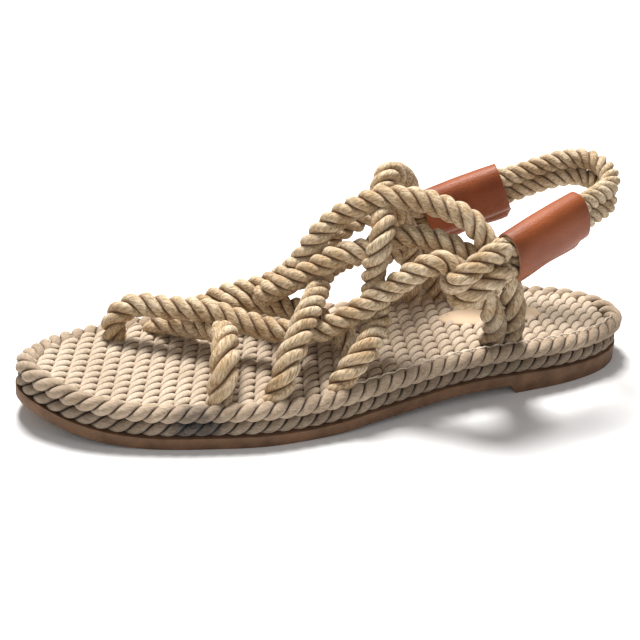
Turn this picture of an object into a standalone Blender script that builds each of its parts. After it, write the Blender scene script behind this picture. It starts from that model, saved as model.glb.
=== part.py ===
# Rope sandal, one left shoe of a pair.
# A flat sandal: crepe rubber outsole with a low heel, a sole built of cord, an upper of
# laid rope that is joined where the ropes cross, and a doubled rope sling behind the heel
# whose joins are covered by two leather sleeves.
#
# The toe points along -X, the left side of the foot is -Y and the floor is Z = 0.
# X = 0 is under the ball of the foot, on the centre line.
# Run with: blender --background --python part.py

import math
import bpy
import bmesh
from mathutils import Vector

# Driving sizes, in metres

SOLE_LENGTH = 0.252
BALL_WIDTH = 0.086
INSTEP_RISE = 0.062
TOE_SPRING = 0.0085
WAIST_RISE = 0.0042
HEEL_LIFT = 0.0026

OUTSOLE_THICKNESS = 0.0044
LOWER_CORD_HEIGHT = 0.0060
UPPER_CORD_HEIGHT = 0.0046
CORD_WIDTH = 0.0068
MAT_DROP = 0.0006

ROPE_RADIUS = 0.0049
SLEEVED_RADIUS = 0.0045
SLING_RADIUS = 0.0037
ROPE_SQUEEZE = 0.0002
SLEEVE_WALL = 0.0012

CLEARANCE = 0.0003
CUTTER_DEPTH = 0.010
SLING_TAIL = 0.012
LEAD_SHARE = 0.80
WELD = 0.000003

# How finely the curved pieces are cut

HALF_STATIONS = 34
CORD_FACETS = 8
ROPE_FACETS = 10
ROPE_STEP = 0.0068
SLEEVE_FACETS = 20
SLEEVE_STATIONS = 5
CURVE_FINENESS = 12

# How square the rounded sections are: 1 is an ellipse, less is squarer

CORD_ROUNDNESS = 0.62
SLEEVE_ROUNDNESS = 0.80

# The pattern: the sizes that the tables below are drawn for, in millimetres.
# A point of a table is graded from the pattern to the driving sizes.

PATTERN_LENGTH = 252.0
PATTERN_WIDTH = 86.0
PATTERN_INSTEP = 62.0
PATTERN_ORIGIN = 75.0

# Outline of the sole: distance from the toe as a share of the length,
# then the half widths on the outer and the inner side in pattern millimetres.

OUTLINE = [
    # along, outer, inner
    (0.000, 0.0, 0.0),
    (0.030, 15.5, 16.0),
    (0.080, 26.5, 28.5),
    (0.150, 34.5, 37.0),
    (0.250, 41.0, 41.0),
    (0.350, 44.5, 41.0),
    (0.450, 43.0, 36.5),
    (0.550, 38.0, 31.0),
    (0.650, 32.8, 28.0),
    (0.750, 29.8, 28.2),
    (0.850, 27.0, 28.2),
    (0.930, 21.5, 23.8),
    (0.975, 14.0, 15.5),
    (1.000, 0.0, 0.0),
]

# Height of the underside: share of the length, then shares of the toe spring, of the
# waist rise and of the heel lift that are added there.

PROFILE = [
    # along, spring, waist, heel
    (0.000, 1.00, 0.00, 0.00),
    (0.060, 0.45, 0.00, 0.00),
    (0.130, 0.10, 0.00, 0.00),
    (0.190, 0.00, 0.00, 0.00),
    (0.400, 0.00, 0.00, 0.00),
    (0.500, 0.00, 0.38, 0.00),
    (0.600, 0.00, 0.74, 0.00),
    (0.700, 0.00, 1.00, 0.00),
    (0.800, 0.00, 0.50, 0.60),
    (0.900, 0.00, 0.10, 0.95),
    (1.000, 0.00, 0.00, 1.00),
]

HEEL_BREAST_TOP = 0.748
HEEL_BREAST_FOOT = 0.776

# Routes of the ropes, in pattern millimetres: distance from the toe, distance towards
# the inner side from the centre line, and height of the rope's centre above the footbed.
# A route that starts or ends in the sole runs a little below the footbed, and is trimmed.

FRONT_ROPE = [
    # along, across, rise
    (44, 25, -6),
    (43, 25, 2),
    (43, 25, 8),
    (46, 24, 12),
    (52, 22, 15),
    (63, 15, 16),
    (76, 7, 17),
    (87, 0, 15),
    (95, -6, 14),
    (101, -10, 14),
    (108, -13, 14),
    (117, -16, 16),
    (126, -19, 22),
    (136, -21, 29),
    (146, -25, 38),
    (156, -29, 45),
    (163, -30, 43),
    (170, -30, 37),
    (175, -31, 29),
    (179, -29, 21),
    (181, -26, 12),
    (183, -23, 3),
    (183, -23, -6),
]

TOE_LOOP = [
    # along, across, rise
    (69, -33, -6),
    (69, -33, 2),
    (71, -31, 10),
    (73, -24, 14),
    (75, -16, 15),
    (75, -7, 13),
    (74, 2, 10),
    (71, 11, 7),
    (67, 19, 6),
    (63, 25, 5),
    (60, 28, 1),
    (60, 28, -6),
]

SECOND_ROPE = [
    # along, across, rise
    (89, -35, -6),
    (91, -35, 2),
    (94, -34, 9),
    (97, -30, 14),
    (101, -26, 18),
    (105, -20, 21),
    (110, -13, 24),
    (115, -6, 25),
    (119, 2, 25),
    (125, 10, 27),
    (134, 18, 26),
    (144, 24, 24),
    (154, 28, 21),
    (164, 31, 19),
    (172, 32, 17),
    (178, 30, 11),
    (180, 26, 3),
    (180, 23, -6),
]

THIRD_ROPE = [
    # along, across, rise
    (115, -34, -6),
    (117, -34, 2),
    (121, -34, 8),
    (126, -32, 12),
    (131, -27, 14),
    (136, -21, 15),
    (138, -15, 19),
    (136, -13, 26),
    (135, -14, 37),
    (136, -15, 46),
    (139, -10, 53),
    (143, 1, 54),
    (145, 9, 58),
    (150, 15, 62),
    (157, 20, 60),
    (164, 25, 53),
    (170, 29, 46),
    (175, 32, 42),
]

TOP_ROPE = [
    # along, across, rise
    (76, 35, -6),
    (78, 35, 2),
    (83, 33, 7),
    (92, 28, 13),
    (103, 22, 18),
    (110, 18, 23),
    (115, 14, 30),
    (118, 12, 37),
    (121, 10, 43),
    (126, 8, 49),
    (131, 5, 54),
    (137, 0, 59),
    (144, -4, 61),
    (154, -10, 61),
    (163, -18, 59),
    (169, -24, 56),
    (174, -28, 49),
    (180, -29, 40),
    (186, -29, 29),
    (190, -28, 18),
    (192, -24, 8),
    (192, -24, -6),
]

INSTEP_ROPE = [
    # along, across, rise
    (102, 19, 15),
    (103, 13, 20),
    (109, 7, 26),
    (117, 3, 32),
    (126, -2, 39),
    (135, -5, 41),
    (144, -8, 46),
    (154, -13, 47),
    (162, -21, 46),
    (169, -27, 42),
    (176, -29, 36),
    (181, -29, 30),
]

LOW_ROPE = [
    # along, across, rise
    (80, 30, -6),
    (81, 30, 1),
    (86, 28, 7),
    (93, 24, 11),
    (101, 19, 12),
    (109, 13, 12),
    (115, 6, 12),
    (120, -1, 11),
    (125, -8, 9),
    (128, -13, 3),
    (128, -14, -6),
]

SHADED_ROPE = [
    # along, across, rise
    (97, 33.5, -6),
    (98, 33.5, 2),
    (102, 32, 9),
    (108, 27, 15),
    (114, 23, 22),
    (119, 20, 29),
    (126, 18, 35),
    (135, 19, 40),
    (146, 22, 42),
    (157, 26, 40),
    (165, 30, 33),
    (169, 30, 22),
    (169, 27, 10),
    (169, 24, 0),
    (169, 23, -6),
]

INNER_POST = [
    # along, across, rise
    (179, 29, 6),
    (180, 32, 14),
    (179, 34, 24),
    (175, 34, 34),
]

UPPER_BIGHT = [
    # along, across, rise
    (181, -32, 48),
    (175, -36, 45),
    (169, -38, 42),
    (163, -38, 38),
    (160, -36, 35),
]

LOWER_BIGHT = [
    # along, across, rise
    (186, -31, 37),
    (177, -36, 33),
    (169, -38, 31),
    (162, -37, 31),
]

# Centre line of the two ropes of the sling, from the inner sleeve round the heel.

SLING = [
    # along, across, rise
    (213, 23.5, 51),
    (222, 20.5, 56),
    (231, 16.5, 60),
    (237, 11.0, 61),
    (240.5, 4.0, 60),
    (240.5, -3.0, 58),
    (236, -9.5, 56),
    (227, -15.0, 55),
]

# Leather sleeves: front end and rear end of the centre line.

OUTER_SLEEVE = [
    # along, across, rise
    (183, -31.0, 43),
    (217, -20.0, 54),
]

INNER_SLEEVE = [
    # along, across, rise
    (171, 33.0, 32),
    (206, 25.0, 48),
]

# Colours and finishes of the materials

MATERIALS = {
    # name: (red, green, blue, roughness, metallic)
    "crepe_rubber": (0.26, 0.12, 0.05, 0.70, 0.0),
    "rim_cord": (0.42, 0.32, 0.22, 0.92, 0.0),
    "mat_cord": (0.56, 0.43, 0.31, 0.92, 0.0),
    "laid_rope": (0.66, 0.51, 0.33, 0.90, 0.0),
    "sling_rope": (0.60, 0.47, 0.31, 0.90, 0.0),
    "saddle_leather": (0.35, 0.11, 0.03, 0.48, 0.0),
}


def smooth_value(table, column, at):
    # Value of a column of a table at a share of the length, on a curve through its rows
    # that never overshoots them.
    rows = table
    last = len(rows) - 1
    if at <= rows[0][0]:
        return rows[0][column]
    if at >= rows[last][0]:
        return rows[last][column]
    slopes = []
    for i in range(last):
        run = rows[i + 1][0] - rows[i][0]
        slopes.append((rows[i + 1][column] - rows[i][column]) / run)
    tangents = [slopes[0]]
    for i in range(1, last):
        if slopes[i - 1] * slopes[i] <= 0.0:
            tangents.append(0.0)
        else:
            mean = 2.0 * slopes[i - 1] * slopes[i] / (slopes[i - 1] + slopes[i])
            tangents.append(mean)
    tangents.append(slopes[last - 1])
    i = 0
    while rows[i + 1][0] < at:
        i += 1
    run = rows[i + 1][0] - rows[i][0]
    t = (at - rows[i][0]) / run
    a = (2.0 * t ** 3 - 3.0 * t ** 2 + 1.0) * rows[i][column]
    b = (t ** 3 - 2.0 * t ** 2 + t) * run * tangents[i]
    c = (3.0 * t ** 2 - 2.0 * t ** 3) * rows[i + 1][column]
    d = (t ** 3 - t ** 2) * run * tangents[i + 1]
    return a + b + c + d


def around(share):
    # Turns a share of the length into an angle share, so that the ends come out round.
    return math.acos(1.0 - 2.0 * share) / math.pi


ROUND_OUTLINE = [(around(row[0]), row[1], row[2]) for row in OUTLINE]


def half_width(share, column):
    # Half width of the sole in metres: column 1 is the outer side, column 2 the inner.
    value = smooth_value(ROUND_OUTLINE, column, around(share))
    return value / PATTERN_WIDTH * BALL_WIDTH


def underside(share):
    # Height of the sole's underside above the floor, without the heel.
    spring = smooth_value(PROFILE, 1, share) * TOE_SPRING
    waist = smooth_value(PROFILE, 2, share) * WAIST_RISE
    heel = smooth_value(PROFILE, 3, share) * HEEL_LIFT
    return spring + waist + heel


def station_x(share):
    return (share - PATTERN_ORIGIN / PATTERN_LENGTH) * SOLE_LENGTH


# Heights of the layers above the underside

LOWER_CORD_FOOT = OUTSOLE_THICKNESS + CLEARANCE
LOWER_CORD_TOP = LOWER_CORD_FOOT + LOWER_CORD_HEIGHT
UPPER_CORD_FOOT = LOWER_CORD_TOP + CLEARANCE
UPPER_CORD_TOP = UPPER_CORD_FOOT + UPPER_CORD_HEIGHT
MAT_TOP = UPPER_CORD_TOP - MAT_DROP


def bed_height(share):
    return underside(min(max(share, 0.0), 1.0)) + MAT_TOP


def place(along, across, rise):
    # Grades a point of a route from the pattern to the driving sizes.
    share = along / PATTERN_LENGTH
    y = across / PATTERN_WIDTH * BALL_WIDTH
    z = bed_height(share) + rise / PATTERN_INSTEP * INSTEP_RISE
    return Vector((station_x(share), y, z))


def route(table):
    return [place(row[0], row[1], row[2]) for row in table]


def station_shares():
    # Shares of the length where the sole is cut, closer together at toe and heel.
    shares = []
    for i in range(1, HALF_STATIONS):
        shares.append(0.5 - 0.5 * math.cos(math.pi * i / HALF_STATIONS))
    for fixed in (HEEL_BREAST_TOP, HEEL_BREAST_FOOT):
        nearest = min(range(len(shares)), key=lambda k: abs(shares[k] - fixed))
        shares[nearest] = fixed
    return shares


SHARES = station_shares()


def outline_points():
    # The closed outline seen from above: toe, outer side, heel, inner side.
    points = [(0.0, Vector((station_x(0.0), 0.0)))]
    for share in SHARES:
        points.append((share, Vector((station_x(share), -half_width(share, 1)))))
    points.append((1.0, Vector((station_x(1.0), 0.0))))
    for share in reversed(SHARES):
        points.append((share, Vector((station_x(share), half_width(share, 2)))))
    return points


def inward_normals(points):
    # Unit normals of the outline that point into the sole.
    normals = []
    count = len(points)
    for i in range(count):
        before = points[i - 1][1]
        after = points[(i + 1) % count][1]
        along = (after - before).normalized()
        normals.append(Vector((-along.y, along.x)))
    return normals


OUTLINE_POINTS = outline_points()
NORMALS = inward_normals(OUTLINE_POINTS)


def new_object(name, mesh, material):
    obj = bpy.data.objects.new(name, mesh)
    bpy.context.scene.collection.objects.link(obj)
    if material:
        mesh.materials.append(bpy.data.materials[material])
    return obj


def mesh_from(name, vertices, faces):
    mesh = bpy.data.meshes.new(name)
    mesh.from_pydata([tuple(v) for v in vertices], [], faces)
    mesh.validate()
    bm = bmesh.new()
    bm.from_mesh(mesh)
    bmesh.ops.triangulate(bm, faces=bm.faces[:])
    bmesh.ops.recalc_face_normals(bm, faces=bm.faces[:])
    bm.to_mesh(mesh)
    bm.free()
    return mesh


def slab(name, inset, foot, top, foot_share, material):
    # A layer of the sole between two heights above the underside. The foot follows the
    # heel down to the floor where foot_share is true.
    count = len(OUTLINE_POINTS)
    vertices = []
    for i in range(count):
        share, point = OUTLINE_POINTS[i]
        xy = point + NORMALS[i] * inset
        low = underside(share) + foot
        if foot_share and share >= HEEL_BREAST_FOOT:
            low = 0.0
        vertices.append(Vector((xy.x, xy.y, low)))
    for i in range(count):
        share, point = OUTLINE_POINTS[i]
        xy = point + NORMALS[i] * inset
        vertices.append(Vector((xy.x, xy.y, underside(share) + top)))
    faces = []
    for i in range(count):
        j = (i + 1) % count
        faces.append((i, j, count + j, count + i))
    middle = count // 2
    for level in (0, count):
        faces.append((level, level + 1, level + count - 1))
        for i in range(1, middle - 1):
            faces.append((level + i, level + i + 1, level + count - i - 1, level + count - i))
        faces.append((level + middle - 1, level + middle, level + middle + 1))
    return new_object(name, mesh_from(name, vertices, faces), material)


def rounded_section(width, height, facets, squareness):
    # Points of a rounded rectangle as (distance in from the edge, height above its foot).
    section = []
    for i in range(facets):
        angle = 2.0 * math.pi * (i + 0.5) / facets
        c = math.cos(angle)
        s = math.sin(angle)
        a = math.copysign(abs(c) ** squareness, c)
        b = math.copysign(abs(s) ** squareness, s)
        scale_a = max(abs(math.cos(math.pi / facets)) ** squareness, 0.001)
        section.append((width / 2.0 * (1.0 - a / scale_a), height / 2.0 * (1.0 + b / scale_a)))
    return section


def rim(name, foot, width, height, grow, material):
    # A cord laid round the whole edge of the sole. Grow makes it larger all round.
    section = rounded_section(width + 2.0 * grow, height + 2.0 * grow, CORD_FACETS, CORD_ROUNDNESS)
    count = len(OUTLINE_POINTS)
    vertices = []
    for i in range(count):
        share, point = OUTLINE_POINTS[i]
        for inset, up in section:
            xy = point + NORMALS[i] * (inset - grow)
            vertices.append(Vector((xy.x, xy.y, underside(share) + foot + up - grow)))
    faces = []
    sides = len(section)
    for i in range(count):
        j = (i + 1) % count
        for k in range(sides):
            m = (k + 1) % sides
            faces.append((i * sides + k, i * sides + m, j * sides + m, j * sides + k))
    return new_object(name, mesh_from(name, vertices, faces), material)


def resample(points, step):
    # Points at even steps on a smooth curve through the given ones.
    dense = []
    last = len(points) - 1
    fine = CURVE_FINENESS
    for i in range(last):
        p0 = points[max(i - 1, 0)]
        p1 = points[i]
        p2 = points[i + 1]
        p3 = points[min(i + 2, last)]
        for k in range(fine):
            t = k / fine
            a = p1 * 2.0
            b = (p2 - p0) * t
            c = (p0 * 2.0 - p1 * 5.0 + p2 * 4.0 - p3) * t * t
            d = (p1 * 3.0 - p0 - p2 * 3.0 + p3) * t * t * t
            dense.append((a + b + c + d) * 0.5)
    dense.append(points[last])
    lengths = [0.0]
    for i in range(1, len(dense)):
        lengths.append(lengths[-1] + (dense[i] - dense[i - 1]).length)
    count = max(2, round(lengths[-1] / step))
    result = []
    j = 0
    for i in range(count + 1):
        target = lengths[-1] * i / count
        while j < len(dense) - 2 and lengths[j + 1] < target:
            j += 1
        span = max(lengths[j + 1] - lengths[j], 1e-9)
        share = min(max((target - lengths[j]) / span, 0.0), 1.0)
        result.append(dense[j].lerp(dense[j + 1], share))
    return result


def tube(name, points, radius, facets, step, material):
    # A round bar along a curve, closed at both ends.
    path = resample(points, step)
    last = len(path) - 1
    tangent = (path[1] - path[0]).normalized()
    helper = Vector((0.0, 0.0, 1.0))
    if abs(tangent.z) > 0.8:
        helper = Vector((1.0, 0.0, 0.0))
    side = tangent.cross(helper).normalized()
    vertices = []
    for i in range(last + 1):
        before = path[max(i - 1, 0)]
        after = path[min(i + 1, last)]
        tangent = (after - before).normalized()
        side = (side - tangent * side.dot(tangent)).normalized()
        other = tangent.cross(side)
        for k in range(facets):
            angle = 2.0 * math.pi * k / facets
            ray = side * math.cos(angle) + other * math.sin(angle)
            vertices.append(path[i] + ray * radius)
    faces = []
    for i in range(last):
        for k in range(facets):
            m = (k + 1) % facets
            faces.append((i * facets + k, i * facets + m, (i + 1) * facets + m, (i + 1) * facets + k))
    faces.append(tuple(range(facets)))
    faces.append(tuple(last * facets + k for k in range(facets)))
    return new_object(name, mesh_from(name, vertices, faces), material)


def weld(mesh):
    # Closes the hairline slivers that a joint can leave between two bars.
    bm = bmesh.new()
    bm.from_mesh(mesh)
    bmesh.ops.triangulate(bm, faces=bm.faces[:])
    bmesh.ops.remove_doubles(bm, verts=bm.verts[:], dist=WELD)
    bmesh.ops.dissolve_degenerate(bm, edges=bm.edges[:], dist=WELD)
    bm.to_mesh(mesh)
    bm.free()


def apply_boolean(target, cutter, operation):
    modifier = target.modifiers.new("joint", "BOOLEAN")
    modifier.operation = operation
    modifier.solver = "EXACT"
    modifier.object = cutter
    bpy.context.view_layer.update()
    graph = bpy.context.evaluated_depsgraph_get()
    result = bpy.data.meshes.new_from_object(target.evaluated_get(graph))
    target.modifiers.clear()
    weld(result)
    old = target.data
    target.data = result
    bpy.data.meshes.remove(old)
    spent = cutter.data
    bpy.data.objects.remove(cutter)
    bpy.data.meshes.remove(spent)


def sleeve_frame(table):
    # Front end, rear end, unit axis and the unit direction across it that points up.
    ends = route(table)
    axis = (ends[1] - ends[0]).normalized()
    up = Vector((0.0, 0.0, 1.0))
    up = (up - axis * up.dot(axis)).normalized()
    return ends[0], ends[1], axis, up


def sleeve_core(table, offset, gap, reach):
    # Last points of a rope that ends inside a sleeve, off its centre line by the offset.
    front, rear, axis, up = sleeve_frame(table)
    middle = (front + rear) * 0.5
    end = middle + axis * gap + up * offset
    return [end + axis * reach, end]


def sleeve(name, table, half_height, half_width_in):
    # A leather tube of oval section round both ropes.
    front, rear, axis, up = sleeve_frame(table)
    side = axis.cross(up)
    vertices = []
    for wall in (0.0, SLEEVE_WALL):
        for i in range(SLEEVE_STATIONS):
            centre = front.lerp(rear, i / (SLEEVE_STATIONS - 1))
            for k in range(SLEEVE_FACETS):
                angle = 2.0 * math.pi * (k + 0.5) / SLEEVE_FACETS
                c = math.cos(angle)
                s = math.sin(angle)
                a = math.copysign(abs(c) ** SLEEVE_ROUNDNESS, c) * (half_width_in + wall)
                b = math.copysign(abs(s) ** SLEEVE_ROUNDNESS, s) * (half_height + wall)
                vertices.append(centre + side * a + up * b)
    facets = SLEEVE_FACETS
    layer = SLEEVE_STATIONS * facets
    faces = []
    for base in (0, layer):
        for i in range(SLEEVE_STATIONS - 1):
            for k in range(facets):
                m = (k + 1) % facets
                a = base + i * facets
                b = a + facets
                faces.append((a + k, a + m, b + m, b + k))
    for end in (0, (SLEEVE_STATIONS - 1) * facets):
        for k in range(facets):
            m = (k + 1) % facets
            faces.append((end + k, end + m, layer + end + m, layer + end + k))
    return new_object(name, mesh_from(name, vertices, faces), "saddle_leather")


def make_materials():
    for name, values in MATERIALS.items():
        material = bpy.data.materials.new(name)
        material.use_nodes = True
        shader = material.node_tree.nodes["Principled BSDF"]
        shader.inputs["Base Color"].default_value = (values[0], values[1], values[2], 1.0)
        shader.inputs["Roughness"].default_value = values[3]
        shader.inputs["Metallic"].default_value = values[4]
        material.diffuse_color = (values[0], values[1], values[2], 1.0)


def build_sole():
    # The moulded outsole, with its low heel in one with it.
    slab("outsole", 0.0, 0.0, OUTSOLE_THICKNESS, True, "crepe_rubber")
    # The two rows of cord round the side.
    rim("lower_rim_cord", LOWER_CORD_FOOT, CORD_WIDTH, LOWER_CORD_HEIGHT, 0.0, "rim_cord")
    rim("upper_rim_cord", UPPER_CORD_FOOT, CORD_WIDTH, UPPER_CORD_HEIGHT, 0.0, "rim_cord")
    # The mat of cord rows that the foot stands on, which fills the sole inside the rim.
    inside = CORD_WIDTH + CLEARANCE
    slab("footbed_mat", inside, LOWER_CORD_FOOT, MAT_TOP, False, "mat_cord")


def build_upper():
    # The ropes of forefoot and instep, joined into one solid where they cross, and
    # trimmed just above the mat and the upper cord where they go into the sole.
    squeeze = SLEEVED_RADIUS - ROPE_SQUEEZE
    reach = (route(OUTER_SLEEVE)[1] - route(OUTER_SLEEVE)[0]).length * 0.4
    half = CLEARANCE / 2.0
    ropes = [
        (route(FRONT_ROPE), ROPE_RADIUS),
        (route(TOE_LOOP), ROPE_RADIUS),
        (route(SECOND_ROPE), ROPE_RADIUS),
        (route(THIRD_ROPE), ROPE_RADIUS),
        (route(TOP_ROPE), ROPE_RADIUS),
        (route(INSTEP_ROPE), ROPE_RADIUS),
        (route(LOW_ROPE), ROPE_RADIUS),
        (route(SHADED_ROPE), ROPE_RADIUS),
        (route(INNER_POST), ROPE_RADIUS),
        (route(UPPER_BIGHT), ROPE_RADIUS),
        (route(LOWER_BIGHT), ROPE_RADIUS),
    ]
    # Inside each sleeve two squeezed ends lie one above the other.
    for table in (OUTER_SLEEVE, INNER_SLEEVE):
        front, rear, axis, up = sleeve_frame(table)
        for side in (1.0, -1.0):
            tail = sleeve_core(table, side * squeeze, -half, -reach)
            lead = front - axis * (ROPE_RADIUS * LEAD_SHARE) + up * side * squeeze
            ropes.append(([lead, tail[0], tail[1]], SLEEVED_RADIUS))
    upper = None
    for number, (points, radius) in enumerate(ropes):
        bar = tube("rope_%02d" % number, points, radius, ROPE_FACETS, ROPE_STEP, "laid_rope")
        if upper is None:
            upper = bar
            upper.name = "upper_ropes"
            upper.data.name = "upper_ropes"
        else:
            apply_boolean(upper, bar, "UNION")
    inside = CORD_WIDTH - CLEARANCE
    bed = slab("bed_cutter", inside, -CUTTER_DEPTH, MAT_TOP + CLEARANCE, False, None)
    apply_boolean(upper, bed, "DIFFERENCE")
    middle = UPPER_CORD_FOOT + UPPER_CORD_HEIGHT * 0.5
    low = slab("low_cutter", -CLEARANCE, -CUTTER_DEPTH, middle, False, None)
    apply_boolean(upper, low, "DIFFERENCE")
    height = UPPER_CORD_HEIGHT
    edge = rim("edge_cutter", UPPER_CORD_FOOT, CORD_WIDTH, height, CLEARANCE, None)
    apply_boolean(upper, edge, "DIFFERENCE")
    upper.name = "upper_ropes"


def build_sling():
    # The doubled rope behind the heel, one rope above the other, pressed together.
    half = CLEARANCE / 2.0
    sling = None
    lift = SLING_RADIUS - ROPE_SQUEEZE
    up = Vector((0.0, 0.0, 1.0))
    for side in (1.0, -1.0):
        start = sleeve_core(INNER_SLEEVE, side * lift, half, SLING_TAIL)
        finish = sleeve_core(OUTER_SLEEVE, side * lift, half, SLING_TAIL)
        middle = [point + up * side * lift for point in route(SLING)]
        points = [start[1], start[0]] + middle + [finish[0], finish[1]]
        bar = tube("sling_part", points, SLING_RADIUS, ROPE_FACETS, ROPE_STEP, "sling_rope")
        if sling is None:
            sling = bar
        else:
            apply_boolean(sling, bar, "UNION")
    sling.name = "heel_sling"


def build_sleeves():
    half_height = SLEEVED_RADIUS * 2.0 - ROPE_SQUEEZE + CLEARANCE
    half_width_in = SLEEVED_RADIUS + CLEARANCE * 2.0
    sleeve("outer_sleeve", OUTER_SLEEVE, half_height, half_width_in)
    sleeve("inner_sleeve", INNER_SLEEVE, half_height, half_width_in)


def trim_sleeve_overlap():
    # Nothing of the ropes may stand inside a sleeve's wall, so the wall is cut out of them.
    for sleeve_name in ("outer_sleeve", "inner_sleeve"):
        wall = bpy.data.objects[sleeve_name]
        table = OUTER_SLEEVE if sleeve_name == "outer_sleeve" else INNER_SLEEVE
        cutter = wall_cutter(table)
        apply_boolean(bpy.data.objects["upper_ropes"], cutter, "DIFFERENCE")
        cutter = wall_cutter(table)
        apply_boolean(bpy.data.objects["heel_sling"], cutter, "DIFFERENCE")


def wall_cutter(table):
    # The wall of a sleeve, thicker by the clearance all round.
    front, rear, axis, up = sleeve_frame(table)
    side = axis.cross(up)
    tall = SLEEVED_RADIUS * 2.0 - ROPE_SQUEEZE
    wide = SLEEVED_RADIUS + CLEARANCE
    grown = SLEEVE_WALL + CLEARANCE * 2.0
    start = front - axis * CLEARANCE
    finish = rear + axis * CLEARANCE
    vertices = []
    for wall in (0.0, grown):
        for centre in (start, finish):
            for k in range(SLEEVE_FACETS):
                angle = 2.0 * math.pi * (k + 0.5) / SLEEVE_FACETS
                c = math.cos(angle)
                s = math.sin(angle)
                a = math.copysign(abs(c) ** SLEEVE_ROUNDNESS, c) * (wide + wall)
                b = math.copysign(abs(s) ** SLEEVE_ROUNDNESS, s) * (tall + wall)
                vertices.append(centre + side * a + up * b)
    facets = SLEEVE_FACETS
    faces = []
    for k in range(facets):
        m = (k + 1) % facets
        faces.append((k, m, facets + m, facets + k))
        faces.append((2 * facets + k, 2 * facets + m, 3 * facets + m, 3 * facets + k))
        faces.append((k, m, 2 * facets + m, 2 * facets + k))
        faces.append((facets + k, facets + m, 3 * facets + m, 3 * facets + k))
    return new_object("wall_cutter", mesh_from("wall_cutter", vertices, faces), None)


def main():
    for obj in list(bpy.data.objects):
        bpy.data.objects.remove(obj)
    make_materials()
    build_sole()
    build_sleeves()
    build_upper()
    build_sling()
    trim_sleeve_overlap()


main()
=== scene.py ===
# %% [markdown]
# # A rope sandal, dressed in rope, cord, rubber and leather
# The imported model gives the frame: every solid of the shoe, in metres, standing on the
# floor. This lesson lays real-looking cord, rubber and leather over those solids. The
# tables give places in mm: from the toe back, from the centre line to the inner side, and
# up from the underside or from the top of the mat.

# %% Load the frame
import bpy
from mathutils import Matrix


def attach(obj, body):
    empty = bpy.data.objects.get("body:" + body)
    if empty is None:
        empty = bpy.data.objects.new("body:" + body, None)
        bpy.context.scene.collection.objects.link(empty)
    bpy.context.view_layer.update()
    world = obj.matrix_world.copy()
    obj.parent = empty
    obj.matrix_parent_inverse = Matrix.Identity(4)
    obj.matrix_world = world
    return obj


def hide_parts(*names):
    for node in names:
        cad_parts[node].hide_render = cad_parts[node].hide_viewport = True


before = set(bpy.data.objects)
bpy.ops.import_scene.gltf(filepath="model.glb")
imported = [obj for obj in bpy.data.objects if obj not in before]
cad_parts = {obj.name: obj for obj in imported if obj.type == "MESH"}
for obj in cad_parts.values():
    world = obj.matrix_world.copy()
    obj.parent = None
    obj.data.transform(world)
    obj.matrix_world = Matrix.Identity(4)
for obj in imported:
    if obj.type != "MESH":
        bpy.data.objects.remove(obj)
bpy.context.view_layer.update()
print("nodes:", ", ".join(sorted(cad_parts)))

# %% Tools of the trade
import math
import bpy
from mathutils import Matrix, Vector, noise

MM = 0.001
# The frame's origin lies this many mm behind the toe.
TOE_TO_ORIGIN = 75.0


def let_go():
    # Nothing stays selected, so the next operator touches only its own piece.
    if bpy.context.mode != "OBJECT":
        bpy.ops.object.mode_set(mode="OBJECT")
    bpy.ops.object.select_all(action="DESELECT")


def take(piece):
    let_go()
    piece.select_set(True)
    bpy.context.view_layer.objects.active = piece


print("tools ready")

# %% [markdown]
# ## The camera
# The shoe was photographed from the toe end of its outer side, from a little above.
# The camera stands where straight lines of sight through the sole's corners meet, and a
# small shift frames it as the photograph does.

# %% Camera
# The picture's width, the focal length and the optical centre, in pixels
PICTURE = 640.0
FOCAL = 1650.826
CENTRE_X = 335.5825
CENTRE_Y = 310.9924
SENSOR = 36.0
DISTANCE = 0.650487
YAW = math.radians(21.91366)
DROP = math.radians(26.71024)
ROLL = math.radians(-4.25118)
AIM = Vector((0.051, 0.0, 0.030))
look = Vector((math.sin(YAW) * math.cos(DROP), math.cos(YAW) * math.cos(DROP), -math.sin(DROP)))
level = Vector((math.cos(YAW), -math.sin(YAW), 0.0))
upright = level.cross(look)
right = level * math.cos(ROLL) - upright * math.sin(ROLL)
top = level * math.sin(ROLL) + upright * math.cos(ROLL)
spot = AIM - look * DISTANCE

camera_data = bpy.data.cameras.new("view")
camera_data.sensor_width = SENSOR
camera_data.lens = FOCAL / PICTURE * SENSOR
camera_data.shift_x = (PICTURE / 2 - CENTRE_X) / PICTURE
camera_data.shift_y = (CENTRE_Y - PICTURE / 2) / PICTURE
camera_data.clip_start = 0.01
camera = bpy.data.objects.new("view", camera_data)
bpy.context.scene.collection.objects.link(camera)
camera.matrix_world = Matrix((
    (right.x, top.x, -look.x, spot.x),
    (right.y, top.y, -look.y, spot.y),
    (right.z, top.z, -look.z, spot.z),
    (0.0, 0.0, 0.0, 1.0),
))
bpy.context.scene.camera = camera
print("camera at", [round(v, 4) for v in spot])

# %% [markdown]
# ## Floor and light
# A pale floor and large soft lamps, as in a product studio: one broad lamp above and
# behind, a weaker one in front, and a bright room all round.

# %% Studio


def lamp(name, place_at, aim, size, power, tint):
    data = bpy.data.lights.new(name, "AREA")
    data.shape = "DISK"
    data.size = size
    data.energy = power
    data.color = tint
    obj = bpy.data.objects.new(name, data)
    bpy.context.scene.collection.objects.link(obj)
    obj.location = place_at
    obj.rotation_euler = (Vector(aim) - Vector(place_at)).to_track_quat("-Z", "Y").to_euler()


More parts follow.
